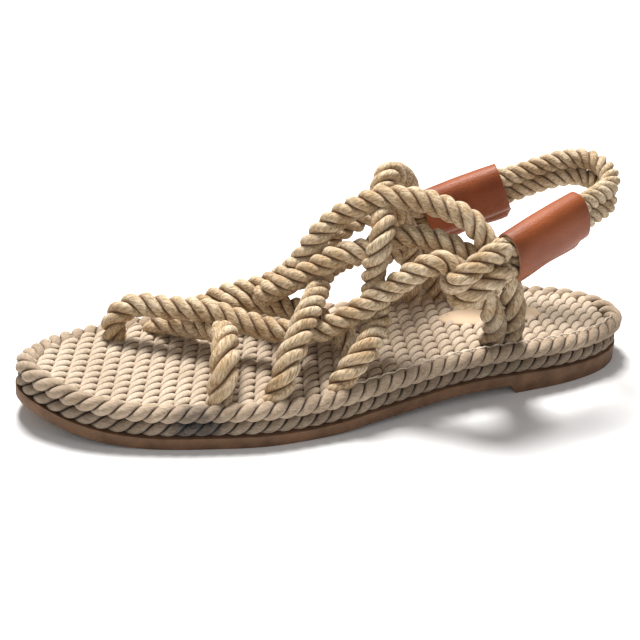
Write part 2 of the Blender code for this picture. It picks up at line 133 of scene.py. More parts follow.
let_go()
bpy.ops.mesh.primitive_plane_add(size=6.0, location=(0.0, 0.0, 0.0))
floor = bpy.context.object
floor.name = "floor"
floor_paint = bpy.data.materials.new("floor_paint")
floor_paint.use_nodes = True
floor_shader = floor_paint.node_tree.nodes["Principled BSDF"]
floor_shader.inputs["Base Color"].default_value = (0.90, 0.90, 0.90, 1.0)
floor_shader.inputs["Roughness"].default_value = 0.9
floor_shader.inputs["Specular IOR Level"].default_value = 0.1
floor.data.materials.append(floor_paint)

lamp("lamp_top", place_at=(0.02, 0.42, 0.96), aim=(0.06, 0.0, 0.02), size=0.40, power=20.5,
     tint=(1.0, 0.99, 0.97))
lamp("lamp_front", place_at=(-0.5, -0.9, 0.55), aim=(0.03, 0.0, 0.02), size=0.9, power=1.3,
     tint=(1.0, 0.99, 0.98))
room = bpy.data.worlds.new("room")
room.use_nodes = True
room.node_tree.nodes["Background"].inputs["Color"].default_value = (1.0, 1.0, 1.0, 1.0)
room.node_tree.nodes["Background"].inputs["Strength"].default_value = 0.32
bpy.context.scene.world = room
bpy.context.scene.view_settings.view_transform = "Standard"
print("studio ready")

# %% [markdown]
# ## The pattern of the sole
# Shoemakers draw a sole as half widths on both sides of a centre line, and its arch as
# heights along it. The same small tables that grade the solids give the curves here, so
# the dressed pieces lie on the solids.

# %% Sole pattern
OUTLINE = [
    # share of the length, outer, inner half width in mm
    (0.000, 0.0, 0.0), (0.030, 15.5, 16.0), (0.080, 26.5, 28.5), (0.150, 34.5, 37.0),
    (0.250, 41.0, 41.0), (0.350, 44.5, 41.0), (0.450, 43.0, 36.5), (0.550, 38.0, 31.0),
    (0.650, 32.8, 28.0), (0.750, 29.8, 28.2), (0.850, 27.0, 28.2), (0.930, 21.5, 23.8),
    (0.975, 14.0, 15.5), (1.000, 0.0, 0.0),
]
PROFILE = [
    # share of the length, height of the underside in mm
    (0.00, 8.5), (0.06, 3.825), (0.13, 0.85), (0.19, 0.0), (0.40, 0.0), (0.50, 1.596),
    (0.60, 3.108), (0.70, 4.2), (0.80, 3.66), (0.90, 2.89), (1.00, 2.6),
]
LENGTH = 252.0
MAT_TOP = 15.0
BALL = 88.0


def on_curve(rows, column, at):
    # A value on the smooth curve through a table's rows, which never overshoots them.
    last = len(rows) - 1
    if at <= rows[0][0]:
        return rows[0][column]
    if at >= rows[last][0]:
        return rows[last][column]
    i = 0
    while rows[i + 1][0] < at:
        i += 1

    def slope(k):
        return (rows[k + 1][column] - rows[k][column]) / (rows[k + 1][0] - rows[k][0])

    def tangent(k):
        if k == 0:
            return slope(0)
        if k == last:
            return slope(last - 1)
        a, b = slope(k - 1), slope(k)
        return 0.0 if a * b <= 0.0 else 2.0 * a * b / (a + b)

    run = rows[i + 1][0] - rows[i][0]
    t = (at - rows[i][0]) / run
    return ((2 * t ** 3 - 3 * t ** 2 + 1) * rows[i][column]
            + (t ** 3 - 2 * t ** 2 + t) * run * tangent(i)
            + (3 * t ** 2 - 2 * t ** 3) * rows[i + 1][column]
            + (t ** 3 - t ** 2) * run * tangent(i + 1))


def around(share):
    return math.acos(max(-1.0, min(1.0, 1.0 - 2.0 * share))) / math.pi


ROUND_OUTLINE = [(around(row[0]), row[1], row[2]) for row in OUTLINE]


def half_width(along, column):
    # Half width in mm at a distance in mm from the toe: 1 is the outer side, 2 the inner.
    return on_curve(ROUND_OUTLINE, column, around(min(max(along / LENGTH, 0.0), 1.0)))


def underside(along):
    return on_curve(PROFILE, 1, min(max(along / LENGTH, 0.0), 1.0))


def at(along, across, height):
    # A point in metres: mm from the toe, mm to the inner side, mm above the underside.
    return Vector((along - TOE_TO_ORIGIN, across, underside(along) + height)) * MM


def place(along, across, rise):
    # The same, but mm above the top of the mat.
    return at(along, across, MAT_TOP + rise)


print("sole", LENGTH, "mm long,", round(half_width(BALL, 1) + half_width(BALL, 2), 1), "mm wide")

# %% [markdown]
# ## Guides
# Every cord on the shoe follows a line. A guide is that line as a curve, and a Curve
# modifier bends a straight cord along it, as a hand lays cord along a chalk mark. So each
# cord can be laid straight, where its twist is simple, and needs no twist of its own later.

# %% Guides


# Pieces of the smooth curve between two given points, and a guide's steps in metres
SMOOTH_STEPS = 12
GUIDE_STEP = 0.0015


def even_steps(points, step, closed=False):
    # Points at even steps on a smooth curve through the given ones.
    count = len(points)
    dense = []
    for i in range(count if closed else count - 1):
        if closed:
            p0, p1, p2, p3 = (points[(i + k - 1) % count] for k in range(4))
        else:
            p0, p1, p2, p3 = (points[min(max(i + k - 1, 0), count - 1)] for k in range(4))
        for k in range(SMOOTH_STEPS):
            t = k / SMOOTH_STEPS
            dense.append((p1 * 2.0 + (p2 - p0) * t
                          + (p0 * 2.0 - p1 * 5.0 + p2 * 4.0 - p3) * t * t
                          + (p1 * 3.0 - p0 - p2 * 3.0 + p3) * t ** 3) * 0.5)
    dense.append(points[0] if closed else points[-1])
    lengths = [0.0]
    for a, b in zip(dense, dense[1:]):
        lengths.append(lengths[-1] + (b - a).length)
    steps = max(2, round(lengths[-1] / step))
    found, j = [], 0
    for i in range(steps if closed else steps + 1):
        target = lengths[-1] * i / steps
        while j < len(dense) - 2 and lengths[j + 1] < target:
            j += 1
        span = max(lengths[j + 1] - lengths[j], 1e-9)
        found.append(dense[j].lerp(dense[j + 1], min(max((target - lengths[j]) / span, 0.0), 1.0)))
    return found, lengths[-1]


def guide(points, closed, twist):
    data = bpy.data.curves.new("guide", "CURVE")
    data.dimensions = "3D"
    data.twist_mode = twist
    line = data.splines.new("POLY")
    line.points.add(len(points) - 1)
    for spot_on, point in zip(line.points, points):
        spot_on.co = (point.x, point.y, point.z, 1.0)
    line.use_cyclic_u = closed
    obj = bpy.data.objects.new("guide", data)
    bpy.context.scene.collection.objects.link(obj)
    return obj


def bend(piece, points, closed=False, twist="MINIMUM"):
    line = guide(points, closed, twist)
    take(piece)
    modifier = piece.modifiers.new("bend", "CURVE")
    modifier.object = line
    modifier.deform_axis = "POS_X"
    bpy.ops.object.modifier_apply(modifier="bend")
    spent = line.data
    bpy.data.objects.remove(line)
    bpy.data.curves.remove(spent)


print("guides ready")

# %% [markdown]
# ## Laid cord
# A laid rope is three strands that wind round each other. One strand's section is a
# flattened circle beside the axis. It is drawn once, copied twice at a third of a turn,
# and swept along a screw, which is just how the rope walk makes it. The thin cord is
# plied so tightly that its plies read as one: two in the rims and in the heel rows of the
# mat, three in the forefoot rows. Its section is one outline with a lobe for each ply,
# swept the same way. The straight cord's own coordinates are kept as an attribute, so
# that fibres can follow the cord after it is bent, and a second attribute keeps how far
# out each point lies, which tells crest from groove.

# %% Lay a straight cord
# A strand's half width and half height, and how far its middle lies from the rope's axis,
# as shares of the rope's radius
STRAND_WIDE = 0.555
STRAND_TALL = 0.47
STRAND_OUT = 0.53
# Under 1, this power makes the plies round and the grooves between them narrow.
LOBE_POWER = 0.62


def lay_cord(name, length, wide, tall, lay, hand=1, turn_steps=24, facets=12, start=0.0,
             ends=True, groove=0.0, plies=2):
    # A straight cord along X. One turn is as long as the lay and has turn_steps steps.
    # With a groove given the cord is tightly plied: one outline with a lobe for each ply.
    let_go()
    bpy.ops.mesh.primitive_circle_add(vertices=facets, radius=1.0, rotation=(0.0, math.pi / 2, 0.0))
    piece = bpy.context.object
    piece.name = name
    bpy.ops.object.transform_apply(location=True, rotation=True, scale=True)
    if groove:
        for vertex in piece.data.vertices:
            lobe = abs(math.cos(math.atan2(vertex.co.z, vertex.co.y) * plies / 2)) ** LOBE_POWER
            vertex.co *= 1.0 - groove * (1.0 - lobe)
    bpy.ops.object.mode_set(mode="EDIT")
    if not groove:
        bpy.ops.mesh.select_all(action="SELECT")
        bpy.ops.transform.resize(value=(1.0, STRAND_WIDE, STRAND_TALL), center_override=(0.0, 0.0, 0.0))
        bpy.ops.transform.translate(value=(0.0, 0.0, STRAND_OUT))
        for _ in range(2):
            bpy.ops.mesh.duplicate()
            bpy.ops.transform.rotate(value=2 * math.pi / 3, orient_axis="X",
                                     center_override=(0.0, 0.0, 0.0))
    bpy.ops.mesh.select_all(action="SELECT")
    bpy.ops.transform.rotate(value=start, orient_axis="X", center_override=(0.0, 0.0, 0.0))
    bpy.ops.object.mode_set(mode="OBJECT")
    sweep = piece.modifiers.new("lay", "SCREW")
    sweep.axis = "X"
    sweep.angle = hand * 2 * math.pi * length / lay
    sweep.screw_offset = length
    sweep.iterations = 1
    sweep.steps = sweep.render_steps = max(4, round(length / lay * turn_steps))
    sweep.use_smooth_shade = True
    bpy.ops.object.modifier_apply(modifier="lay")
    # 1 on a crest; 0 on the axis of a rope, or at the bottom of a plied cord's groove
    crest = piece.data.attributes.new("crest", "FLOAT", "POINT")
    for vertex in piece.data.vertices:
        out = math.hypot(vertex.co.y, vertex.co.z)
        crest.data[vertex.index].value = 1.0 - (1.0 - out) / groove if groove else out
        vertex.co.y *= wide
        vertex.co.z *= tall
    bpy.ops.object.mode_set(mode="EDIT")
    bpy.ops.mesh.select_all(action="SELECT")
    if ends:
        bpy.ops.mesh.fill_holes(sides=0)
        bpy.ops.mesh.select_all(action="SELECT")
    bpy.ops.mesh.normals_make_consistent(inside=False)
    bpy.ops.object.mode_set(mode="OBJECT")
    return piece


def remember_lay(piece):
    # The straight cord's own place of each vertex, in metres.
    kept = piece.data.attributes.new("laid", "FLOAT_VECTOR", "POINT")
    for vertex in piece.data.vertices:
        kept.data[vertex.index].vector = vertex.co


def soften(piece, seed, strength):
    # Hand-laid cord is never quite even: a slow noise swells and pinches it a little.
    for vertex in piece.data.vertices:
        c = vertex.co
        swell = 1.0 + strength * noise.noise(Vector((c.x * 130.0, c.y * 260.0, c.z * 260.0 + seed)))
        c.y *= swell
        c.z *= swell


def looseness(s, length, zones):
    # How much longer than usual the lay is at s metres from the start.
    extra = 0.0
    for middle, reach, amount in zones:
        centre = middle if middle >= 0.0 else length + middle
        extra = max(extra, amount * max(0.0, 1.0 - ((s - centre) / reach) ** 2) ** 2)
    return 1.0 + extra


def tight_length(length, zones, steps=400):
    # Length of the evenly laid cord that gives this length once parts of it are loosened.
    total, table = 0.0, [0.0]
    for i in range(steps):
        total += length / steps / looseness((i + 0.5) / steps * length, length, zones)
        table.append(total)
    return total, table


def loosen(piece, length, zones, table, spread):
    # Stretches the even cord to its full length, most in the zones, and widens it there.
    steps = len(table) - 1
    for vertex in piece.data.vertices:
        c = vertex.co
        low, high = 0, steps
        while high - low > 1:
            mid = (low + high) // 2
            if table[mid] <= c.x:
                low = mid
            else:
                high = mid
        share = (c.x - table[low]) / max(table[low + 1] - table[low], 1e-9)
        c.x = (low + min(max(share, 0.0), 1.0)) / steps * length
        wider = 1.0 + spread * (looseness(c.x, length, zones) - 1.0)
        c.y *= wider
        c.z *= wider


def weld(piece, gap):
    take(piece)
    bpy.ops.object.mode_set(mode="EDIT")
    bpy.ops.mesh.select_all(action="SELECT")
    bpy.ops.mesh.remove_doubles(threshold=gap)
    bpy.ops.mesh.normals_make_consistent(inside=False)
    bpy.ops.object.mode_set(mode="OBJECT")


def close_up(piece):
    # Seams are welded, stray points go, and whatever is still open is filled.
    take(piece)
    bpy.ops.object.mode_set(mode="EDIT")
    bpy.ops.mesh.select_all(action="SELECT")
    bpy.ops.mesh.remove_doubles(threshold=1e-6)
    bpy.ops.mesh.dissolve_degenerate(threshold=1e-6)
    bpy.ops.mesh.delete_loose(use_verts=True, use_edges=True, use_faces=False)
    bpy.ops.mesh.select_all(action="SELECT")
    bpy.ops.mesh.fill_holes(sides=0)
    bpy.ops.mesh.select_all(action="SELECT")
    bpy.ops.mesh.normals_make_consistent(inside=False)
    bpy.ops.object.mode_set(mode="OBJECT")


def finish_piece(piece, paint, node=None):
    # Smooth shading, one finish, and the body and solid that the piece belongs to.
    take(piece)
    bpy.ops.object.shade_smooth()
    piece.data.materials.clear()
    piece.data.materials.append(paint)
    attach(piece, "root")
    if node:
        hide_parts(node)
    print(piece.name, len(piece.data.polygons), "faces")
    return piece


print("rope walk ready")

# %% [markdown]
# ## Finishes of cord
# Cotton and hemp cord is matt. Its fibres run nearly along the rope. The grooves between the
# strands are painted deep brown as shade, and the crests stay pale. A noise stretched along
# the kept straight coordinates gives the fibres, in colour and in relief, and the other
# kept attribute tells crest from groove for the painted shade. So one finish serves every bend of a cord.

# %% Cord material
# Sockets of a Mix node by number: its two colours and their result, and its two values
COLOUR_A = 6
COLOUR_B = 7
COLOUR_OUT = 2
VALUE_A = 2
VALUE_B = 3


def socket_mix(tree, kind="RGBA", blend="MIX"):
    node = tree.nodes.new("ShaderNodeMix")
    node.data_type = kind
    node.blend_type = blend
    return node


def noise_node(tree, vector, scale, detail):
    node = tree.nodes.new("ShaderNodeTexNoise")
    node.inputs["Scale"].default_value = scale
    node.inputs["Detail"].default_value = detail
    tree.links.new(vector, node.inputs["Vector"])
    return node


def ramp_node(tree, value, low, low_colour, high, high_colour):
    node = tree.nodes.new("ShaderNodeValToRGB")
    for stop, place_on, colour in zip(node.color_ramp.elements, (low, high), (low_colour, high_colour)):
        stop.position = place_on
        stop.color = (*colour, 1.0)
    tree.links.new(value, node.inputs["Fac"])
    return node


# groove is the colour of the painted shade in the grooves between strands or plies.
def cord_paint(name, crest, body, groove, groove_from, groove_to, fibre_scale, fibre_bump,
               tint_amount, stain_and_shade=None):
    paint = bpy.data.materials.new(name)
    paint.use_nodes = True
    tree = paint.node_tree
    shader = tree.nodes["Principled BSDF"]
    shader.inputs["Roughness"].default_value = 0.9
    shader.inputs["Specular IOR Level"].default_value = 0.22
    shader.inputs["Sheen Weight"].default_value = 0.12
    shader.inputs["Sheen Roughness"].default_value = 0.5
    laid = tree.nodes.new("ShaderNodeAttribute")
    laid.attribute_name = "laid"
    stretch = tree.nodes.new("ShaderNodeMapping")
    stretch.inputs["Scale"].default_value = (0.16, 1.0, 1.0)
    tree.links.new(laid.outputs["Vector"], stretch.inputs["Vector"])
    fibre = noise_node(tree, stretch.outputs["Vector"], fibre_scale, 5.0)
    fibre.inputs["Roughness"].default_value = 0.62
    # Painted shade: dark in the grooves, clear on the crests
    far_out = tree.nodes.new("ShaderNodeAttribute")
    far_out.attribute_name = "crest"
    depth = tree.nodes.new("ShaderNodeMapRange")
    depth.interpolation_type = "SMOOTHSTEP"
    depth.inputs["From Min"].default_value = groove_from
    depth.inputs["From Max"].default_value = groove_to
    tree.links.new(far_out.outputs["Fac"], depth.inputs["Value"])
    # Slow change of tone over the shoe
    where = tree.nodes.new("ShaderNodeTexCoord")
    cloud = noise_node(tree, where.outputs["Object"], 90.0, 3.0)
    tone = ramp_node(tree, cloud.outputs["Fac"], 0.36, body, 0.66, crest)
    # The gaps between fibres are darker and a little redder than the fibres.
    gap_tint = [1.0 - tint_amount * more for more in (1.0, 1.15, 1.4)]
    lines = ramp_node(tree, fibre.outputs["Fac"], 0.33, gap_tint, 0.62, (1.0, 1.0, 1.0))
    threads = socket_mix(tree, blend="MULTIPLY")
    threads.inputs["Factor"].default_value = 1.0
    tree.links.new(tone.outputs["Color"], threads.inputs[COLOUR_A])
    tree.links.new(lines.outputs["Color"], threads.inputs[COLOUR_B])
    shade = socket_mix(tree)
    tree.links.new(depth.outputs["Result"], shade.inputs["Factor"])
    shade.inputs[COLOUR_A].default_value = (*groove, 1.0)
    tree.links.new(threads.outputs[COLOUR_OUT], shade.inputs[COLOUR_B])
    colour = shade.outputs[COLOUR_OUT]
    if stain_and_shade:
        # A darker patch round one spot, broken up by a noise: a real stain on the rims, painted shade on the
        # ropes and on the mat
        spot_at, spot_size, amount, stain_and_shade_tint = stain_and_shade
        to_spot = tree.nodes.new("ShaderNodeVectorMath")
        to_spot.operation = "DISTANCE"
        tree.links.new(where.outputs["Object"], to_spot.inputs[0])
        to_spot.inputs[1].default_value = spot_at
        near = tree.nodes.new("ShaderNodeMapRange")
        near.inputs["From Min"].default_value = spot_size
        near.inputs["From Max"].default_value = spot_size * 0.3
        near.inputs["To Max"].default_value = amount
        tree.links.new(to_spot.outputs["Value"], near.inputs["Value"])
        patchy = socket_mix(tree, kind="FLOAT")
        patchy.inputs[VALUE_A].default_value = 0.0
        tree.links.new(near.outputs["Result"], patchy.inputs[VALUE_B])
        broken = noise_node(tree, where.outputs["Object"], 420.0, 2.0)
        tree.links.new(broken.outputs["Fac"], patchy.inputs[0])
        stain_and_shade_mix = socket_mix(tree)
        tree.links.new(patchy.outputs[0], stain_and_shade_mix.inputs["Factor"])
        tree.links.new(colour, stain_and_shade_mix.inputs[COLOUR_A])
        stain_and_shade_mix.inputs[COLOUR_B].default_value = (*stain_and_shade_tint, 1.0)
        colour = stain_and_shade_mix.outputs[COLOUR_OUT]
    tree.links.new(colour, shader.inputs["Base Color"])
    relief = tree.nodes.new("ShaderNodeBump")
    relief.inputs["Strength"].default_value = fibre_bump
    relief.inputs["Distance"].default_value = 0.0004
    tree.links.new(fibre.outputs["Fac"], relief.inputs["Height"])
    tree.links.new(relief.outputs["Normal"], shader.inputs["Normal"])
    return paint


# A real stain low on the outer forefoot
STAIN_SPOT = (-0.0165, -0.0400, 0.0110)
STAIN_TINT = (0.030, 0.036, 0.045)
# Painted shade at the feet of the rear posts, under the sleeves and the knot
POST_FOOT_SHADE_SPOT = (0.114, -0.0225, 0.0195)
POST_FOOT_SHADE_TINT = (0.11, 0.078, 0.052)
# Painted shade on the mat between the ropes, under the instep
MAT_SHADE_SPOT = (0.012, -0.018, 0.0195)
MAT_SHADE_TINT = (0.27, 0.19, 0.125)
ROPE_PAINT = cord_paint(
    "laid_rope_finish", crest=(0.82, 0.685, 0.51), body=(0.59, 0.425, 0.26), groove=(0.185, 0.090, 0.034),
    groove_from=0.48, groove_to=0.92, fibre_scale=1500.0, fibre_bump=1.0, tint_amount=0.60,
    stain_and_shade=(POST_FOOT_SHADE_SPOT, 0.036, 1.2, POST_FOOT_SHADE_TINT))
SLING_PAINT = cord_paint(
    "sling_rope_finish", crest=(0.81, 0.68, 0.51), body=(0.60, 0.45, 0.29), groove=(0.15, 0.080, 0.034),
    groove_from=0.48, groove_to=0.90, fibre_scale=1700.0, fibre_bump=1.0, tint_amount=0.56)
RIM_PAINT = cord_paint(
    "upper_rim_finish", crest=(0.58, 0.46, 0.35), body=(0.44, 0.34, 0.25), groove=(0.085, 0.055, 0.036),
    groove_from=0.10, groove_to=0.62, fibre_scale=1900.0, fibre_bump=0.65, tint_amount=0.36,
    stain_and_shade=(STAIN_SPOT, 0.012, 0.9, STAIN_TINT))
LOWER_PAINT = cord_paint(
    "lower_rim_finish", crest=(0.40, 0.315, 0.24), body=(0.29, 0.225, 0.165), groove=(0.040, 0.027, 0.019),
    groove_from=0.12, groove_to=0.72, fibre_scale=1900.0, fibre_bump=0.65, tint_amount=0.38,
    stain_and_shade=(STAIN_SPOT, 0.015, 1.6, STAIN_TINT))
MAT_PAINT = cord_paint(
    "mat_cord_finish", crest=(0.675, 0.560, 0.440), body=(0.565, 0.460, 0.352), groove=(0.095, 0.058, 0.034),
    groove_from=0.10, groove_to=0.66, fibre_scale=2100.0, fibre_bump=0.55, tint_amount=0.28,
    stain_and_shade=(MAT_SHADE_SPOT, 0.034, 0.55, MAT_SHADE_TINT))
print("cord finishes:", len(bpy.data.materials))

# %% [markdown]
# ## Rubber and leather
# The outsole is crepe rubber: brown, dull, with a fine grain. The sleeves are smooth
# saddle leather with a soft shine, faint pores and paler cut edges. One recipe makes all
# of them: a slow noise for the tone, and a fine one for the gloss and the relief.

# %% Rubber and leather materials


def grained_paint(name, pale, dark, scale, fine_scale, roughness, bump, distance, coat=0.0):
    paint = bpy.data.materials.new(name)
    paint.use_nodes = True
    tree = paint.node_tree
    shader = tree.nodes["Principled BSDF"]
    shader.inputs["Coat Weight"].default_value = coat
    shader.inputs["Coat Roughness"].default_value = 0.35
    where = tree.nodes.new("ShaderNodeTexCoord")
    cloud = noise_node(tree, where.outputs["Object"], scale, 6.0)
    tone = ramp_node(tree, cloud.outputs["Fac"], 0.32, dark, 0.70, pale)
    tree.links.new(tone.outputs["Color"], shader.inputs["Base Color"])
    grain = noise_node(tree, where.outputs["Object"], fine_scale, 4.0)
    gloss = tree.nodes.new("ShaderNodeMapRange")
    gloss.inputs["To Min"].default_value = roughness - 0.08
    gloss.inputs["To Max"].default_value = roughness + 0.10
    tree.links.new(grain.outputs["Fac"], gloss.inputs["Value"])
    tree.links.new(gloss.outputs["Result"], shader.inputs["Roughness"])
    relief = tree.nodes.new("ShaderNodeBump")
    relief.inputs["Strength"].default_value = bump
    relief.inputs["Distance"].default_value = distance
    tree.links.new(grain.outputs["Fac"], relief.inputs["Height"])
    tree.links.new(relief.outputs["Normal"], shader.inputs["Normal"])
    return paint


RUBBER_PAINT = grained_paint("crepe_rubber_finish", pale=(0.205, 0.106, 0.052), dark=(0.115, 0.057, 0.026),
                             scale=140.0, fine_scale=1100.0, roughness=0.72, bump=0.35, distance=0.0004)
LEATHER_PAINT = grained_paint("saddle_leather_finish", pale=(0.34, 0.088, 0.026), dark=(0.21, 0.052, 0.016),
                              scale=42.0, fine_scale=1500.0, roughness=0.44, bump=0.85, distance=0.0003,
                              coat=0.04)
LEATHER_PAINT.node_tree.nodes["Principled BSDF"].inputs["Specular IOR Level"].default_value = 0.26
EDGE_PAINT = grained_paint("cut_edge_finish", pale=(0.40, 0.20, 0.11), dark=(0.24, 0.10, 0.05),
                           scale=300.0, fine_scale=1800.0, roughness=0.8, bump=0.4, distance=0.0003)
PAD_PAINT = grained_paint("bare_pad_finish", pale=(0.66, 0.50, 0.34), dark=(0.60, 0.44, 0.29),
                          scale=80.0, fine_scale=1800.0, roughness=0.85, bump=0.20, distance=0.0002)
BOARD_PAINT = grained_paint("sole_board_finish", pale=(0.16, 0.10, 0.06), dark=(0.10, 0.06, 0.035),
                            scale=90.0, fine_scale=900.0, roughness=0.9, bump=0.2, distance=0.0003)
print("finishes:", len(bpy.data.materials))

# %% [markdown]
# ## Outsole
# One moulded sheet with the low heel in one with it. A flat grid takes the sole's
# outline, is pushed down in one extrusion, and its lower face follows the arch. Behind
# the breast line it drops to the floor. The same function makes the filler board, which
# closes the space inside the cords, so that no light comes through between them.

# %% Sheets in the sole's outline
HEEL_BREAST = 0.762


def sole_sheet(name, inset, top_height, low_height, heel=False, long_cuts=120, cross_cuts=12):
    let_go()
    bpy.ops.mesh.primitive_grid_add(x_subdivisions=long_cuts, y_subdivisions=cross_cuts, size=1.0)
    piece = bpy.context.object
    piece.name = name
    for vertex in piece.data.vertices:
        # The grid's stations crowd towards toe and heel, where the outline turns fast.
        share = 0.5 - 0.5 * math.cos(math.pi * (vertex.co.x + 0.5))
        outer = max(half_width(share * LENGTH, 1) - inset, 0.0)
        inner = max(half_width(share * LENGTH, 2) - inset, 0.0)
        across = -outer + (outer + inner) * (vertex.co.y + 0.5)
        vertex.co = at(inset + (LENGTH - 2 * inset) * share, across, top_height)
    take(piece)
    bpy.ops.object.mode_set(mode="EDIT")
    bpy.ops.mesh.select_all(action="SELECT")
    bpy.ops.mesh.extrude_region_move(TRANSFORM_OT_translate={"value": (0.0, 0.0, -0.001)})
    bpy.ops.object.mode_set(mode="OBJECT")
    # The new lower face is what the extrusion left selected.
    for vertex in [v for v in piece.data.vertices if v.select]:
        along = vertex.co.x / MM + TOE_TO_ORIGIN
        vertex.co.z = (underside(along) + low_height) * MM
        if heel and along >= HEEL_BREAST * LENGTH:
            vertex.co.z = 0.0
    weld(piece, 0.00005)
    return piece


outsole = sole_sheet("outsole_sheet", 0.0, 4.5, 0.0, heel=True)
softening = outsole.modifiers.new("edge", "BEVEL")
softening.width = 0.0005
softening.segments = 2
softening.angle_limit = math.radians(50)
take(outsole)
bpy.ops.object.modifier_apply(modifier="edge")
finish_piece(outsole, RUBBER_PAINT, "outsole")
take(outsole)
bpy.ops.object.shade_smooth_by_angle(angle=math.radians(40))

board = sole_sheet("sole_board", 5.5, 13.2, 4.4, long_cuts=80, cross_cuts=8)
close_up(board)
finish_piece(board, BOARD_PAINT)

# %% [markdown]
# ## Rim cords
# Two rows of twisted cord go round the side of the sole, one on the other. They are
# left-hand laid, so on the outer side their plies lean up towards the heel. Each is a
# whole number of turns long, so that it closes on itself with no visible joint. Its guide
# is closed too and kept level all the way round, so the two ends meet ply to ply.

# %% Rim cords
# Behind this place, in mm from the toe, a cord drifts out past the heel. After this run
# it would be by its reach.
REACH_FROM = 222.0
REACH_RUN = 30.0


def rim_line(inset, height, reach):
    count = 150
    stations = [0.5 - 0.5 * math.cos(math.pi * i / count) for i in range(count + 1)]
    ring = [(s, -half_width(s * LENGTH, 1)) for s in stations]
    ring += [(s, half_width(s * LENGTH, 2)) for s in reversed(stations[1:-1])]
    flat = [Vector((s * LENGTH, y)) for s, y in ring]
    points = []
    for i in range(len(flat)):
        along = (flat[(i + 1) % len(flat)] - flat[i - 1]).normalized()
        inside = flat[i] + Vector((-along.y, along.x)) * inset
        inside.x += reach * max(0.0, (inside.x - REACH_FROM) / REACH_RUN) ** 2
        points.append(at(inside.x, inside.y, height))
    return even_steps(points, GUIDE_STEP, closed=True)


def rim_cord(name, node, wide, tall, height, inset, lay, reach, paint):
    points, length = rim_line(inset, height, reach)
    rounds = round(length / lay)
    cord = lay_cord(name, length, wide, tall, length / rounds, hand=-1, facets=28, ends=False, groove=0.46)
    remember_lay(cord)
    bend(cord, points, closed=True, twist="Z_UP")
    weld(cord, 0.00015)
    print(name, "length", round(length, 3), "turns", rounds)
    return finish_piece(cord, paint, node)


rim_cord("lower_cord", "lower_rim_cord", wide=0.0036, tall=0.0032, height=7.2, inset=3.9,
         lay=0.0124, reach=0.4, paint=LOWER_PAINT)
rim_cord("upper_cord", "upper_rim_cord", wide=0.0040, tall=0.0036, height=13.1, inset=3.9,
         lay=0.0126, reach=3.2, paint=RIM_PAINT)

# %% [markdown]
# ## Footbed mat
# The mat is many short lengths of right-hand cord laid side by side at a slant and sewn:
# slack three-ply cord under the forefoot, tight two-ply cord behind. Each of the two is
# laid once and cut flat below, then copied for every row, cut to the sole's outline by
# bisecting, and set on the curve of the bed. So the twist is modelled only twice.

# %% Footbed mat
# Gap between rows, inset from the outline and depth of the cord's axis, in mm
ROW_GAP = 6.2
MAT_INSET = 5.6
MAT_SINK = 1.75
# Rows in front of this place, in mm, are of the slack cord.
SLACK_TO = 118.0
# Half width and half height of the cord, its length, the cut below and its steps, in metres
MAT_CORD = 0.0033
MAT_CORD_TALL = 0.0025
MASTER_LENGTH = 0.150
CUT_BELOW = -0.0006
MASTER_STEP = 0.00051


def back_share(along):
    # 0 up to the ball of the foot, 1 at the heel.
    return min(max((along - 90.0) / 140.0, 0.0), 1.0)


def row_slant(along):
    # How far a row leans towards the heel for each mm it goes to the inner side.
    return 0.36 - 0.26 * back_share(along)


def row_span(along, inset):
    # Where a row meets the rim on the outer and the inner side.
    slant = row_slant(along)
    inside = []
    for i in range(-450, 451):
        y = i * 0.1
        x = along + y * slant
        if inset < x < LENGTH - inset and -half_width(x, 1) + inset < y < half_width(x, 2) - inset:
            inside.append(y)
    return (inside[0], inside[-1]) if len(inside) > 20 else None


def cut(where, facing, inner):
    # Takes away what lies on one side of a plane and fills the cut.
    bpy.ops.mesh.select_all(action="SELECT")
    bpy.ops.mesh.bisect(plane_co=where, plane_no=facing, clear_inner=inner, clear_outer=not inner,
                        use_fill=True)


def mat_master(name, lay, plies, groove):
    piece = lay_cord(name, MASTER_LENGTH, MAT_CORD, MAT_CORD_TALL, lay,
                     turn_steps=round(lay / MASTER_STEP), facets=24, groove=groove, plies=plies)
    take(piece)
    bpy.ops.object.mode_set(mode="EDIT")
    cut((0.0, 0.0, CUT_BELOW), (0.0, 0.0, 1.0), inner=True)
    bpy.ops.object.mode_set(mode="OBJECT")
    remember_lay(piece)
    return piece


slack = mat_master("slack_master", 0.0154, 3, 0.33)
tight_one = mat_master("tight_master", 0.0103, 2, 0.38)

rows = []
along = -8.0
number = 0
